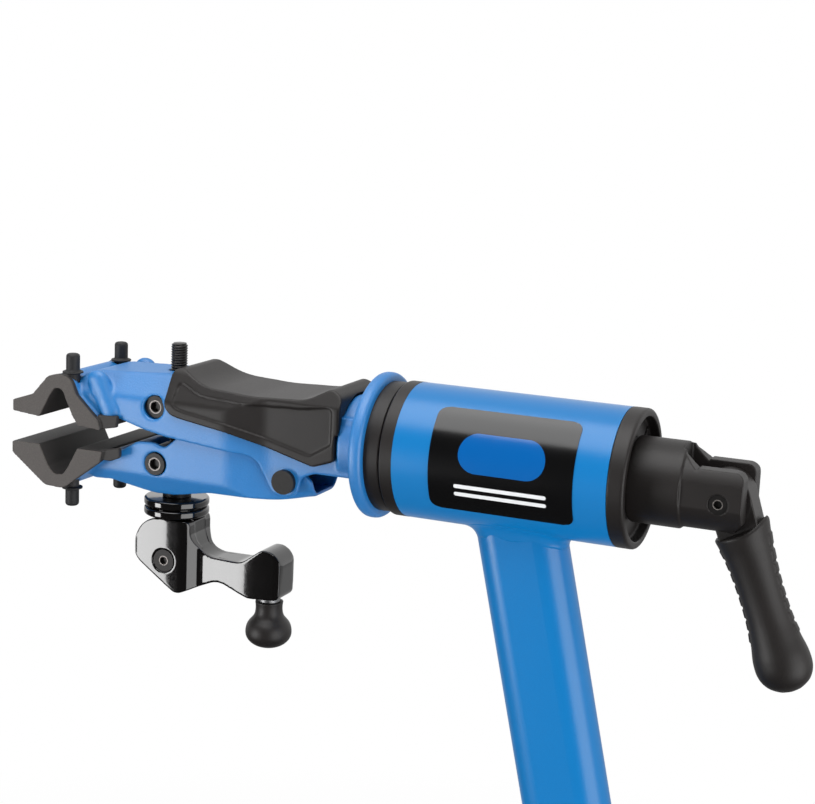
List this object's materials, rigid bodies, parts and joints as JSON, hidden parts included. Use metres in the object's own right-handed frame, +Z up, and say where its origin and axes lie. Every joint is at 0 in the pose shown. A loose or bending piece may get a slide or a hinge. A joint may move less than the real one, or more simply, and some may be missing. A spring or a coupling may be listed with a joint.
{
  "type": "bike repair stand",
  "caption": "Folding floor stand with a leaning telescopic mast, a turning head and a padded screw-and-cam clamp that holds a bicycle by its post",
  "frame": {"origin": "on the floor, at the middle of the overall footprint", "axes": "+Z up, +X from the jaws towards the turning handle, +Y to the far side of the label"},
  "size_m": [0.7004, 0.76, 1.245],
  "materials": {
    "blue_paint": "semi-gloss powder coat with a fine grain",
    "black_paint": "satin powder coat",
    "gloss_black": "high gloss",
    "black_plastic": "moulded, lightly textured",
    "cover_rubber": "matte moulded rubber",
    "foot_rubber": "matte moulded rubber",
    "label": "glossy film, bare of words",
    "steel": "zinc plated",
    "black_steel": "black oxide"
  },
  "bodies": {
    "base": {"rear_crossbar": "black_paint", "rear_feet": "foot_rubber", "lower_mast": "blue_paint", "collar_liner": "black_plastic", "collar_clamp": "black_paint", "collar_bolt": "steel", "collar_cam_pin": "steel", "collar_nut": "black_plastic", "leg_bracket_plates": "black_paint", "bracket_bolts": "steel", "bracket_spacers": "steel", "leg_stop_block": "black_plastic", "leg_hinge_bolt": "steel", "leg_washers": "black_plastic"},
    "quick_lever": {"collar_lever": "black_plastic"},
    "leg_knob": {"leg_knob": "black_plastic"},
    "front_leg": {"front_leg": "blue_paint", "front_crossbar": "black_paint", "front_feet": "foot_rubber"},
    "mast_head": {"upper_mast": "blue_paint", "mast_glide": "black_plastic", "head_barrel": "blue_paint", "mast_weld": "blue_paint", "front_ring": "black_plastic", "rear_cap": "black_plastic", "label_plate": "label"},
    "clamp_head": {"spindle": "steel", "clutch_ring": "black_plastic", "clamp_arm": "blue_paint", "cradle": "black_plastic", "jaw_pivot_pin": "steel", "pivot_clip": "steel", "upper_jaw_cover": "cover_rubber", "upper_dowel": "steel", "upper_dowel_screws": "black_steel"},
    "lower_jaw": {"lower_jaw": "blue_paint", "lower_jaw_cover": "cover_rubber", "lower_dowel": "steel", "lower_dowel_screws": "black_steel"},
    "rod_lift": {"thrust_sleeve": "steel"},
    "clamp_rod": {"clamp_rod": "black_steel", "upper_disc": "gloss_black", "lower_disc": "gloss_black"},
    "cam_lever": {"cam_lever": "gloss_black", "cam_bolt": "black_steel", "knob_stud": "steel"},
    "crank_knob": {"crank_knob": "black_plastic"},
    "clevis": {"clevis": "black_plastic", "thrust_washer": "steel", "draw_bolt": "steel", "handle_bolt": "black_steel"},
    "handle": {"handle_tongue": "black_plastic", "handle_grip": "black_plastic"}
  },
  "joints": [
    {"name": "height_slide", "type": "slide", "parent": "base", "child": "mast_head", "axis": [-0.225, 0, 0.9744], "range_m": [-0.2, 0.25]},
    {"name": "quick_lever_flip", "type": "hinge", "parent": "base", "child": "quick_lever", "pos_m": [0.17378, 0.0193, 0.84828], "axis": [0.225, 0, -0.9744], "range_deg": [0, 120]},
    {"name": "leg_knob_turn", "type": "hinge", "parent": "base", "child": "leg_knob", "pos_m": [0.12835, 0, 0.60763], "axis": [0, -1, 0], "continuous": true},
    {"name": "leg_fold", "type": "hinge", "parent": "base", "child": "front_leg", "pos_m": [0.12835, 0, 0.60763], "axis": [0, -1, 0], "range_deg": [0, 50]},
    {"name": "head_turn", "type": "hinge", "parent": "mast_head", "child": "clamp_head", "pos_m": [0.05274, 0, 1.2], "axis": [1, 0, 0], "continuous": true},
    {"name": "rod_travel", "type": "slide", "parent": "clamp_head", "child": "rod_lift", "axis": [0, 0, 1], "range_m": [-0.014, 0.0072]},
    {"name": "jaw_swing", "type": "hinge", "parent": "clamp_head", "child": "lower_jaw", "pos_m": [-0.07826, 0, 1.1767], "axis": [0, 1, 0], "range_deg": [-9.61, 4.94]},
    {"name": "rod_turn", "type": "hinge", "parent": "rod_lift", "child": "clamp_rod", "pos_m": [-0.16176, 0, 1.15], "axis": [0, 0, 1], "continuous": true},
    {"name": "cam_flip", "type": "hinge", "parent": "clamp_rod", "child": "cam_lever", "pos_m": [-0.16176, 0, 1.1155], "axis": [0, 1, 0], "range_deg": [0, 80]},
    {"name": "knob_spin", "type": "hinge", "parent": "cam_lever", "child": "crank_knob", "pos_m": [-0.09786, 0, 1.085], "axis": [0, 0, 1], "continuous": true},
    {"name": "handle_turn", "type": "hinge", "parent": "clamp_head", "child": "clevis", "pos_m": [0.14274, 0, 1.2], "axis": [1, 0, 0], "continuous": true},
    {"name": "handle_swing", "type": "hinge", "parent": "clevis", "child": "handle", "pos_m": [0.16924, 0, 1.1965], "axis": [0, -1, 0], "range_deg": [0, 110]}
  ],
  "couplings": [
    {"joint": "jaw_swing", "follows": "rod_travel", "rad_per_m": 11.976}
  ]
}
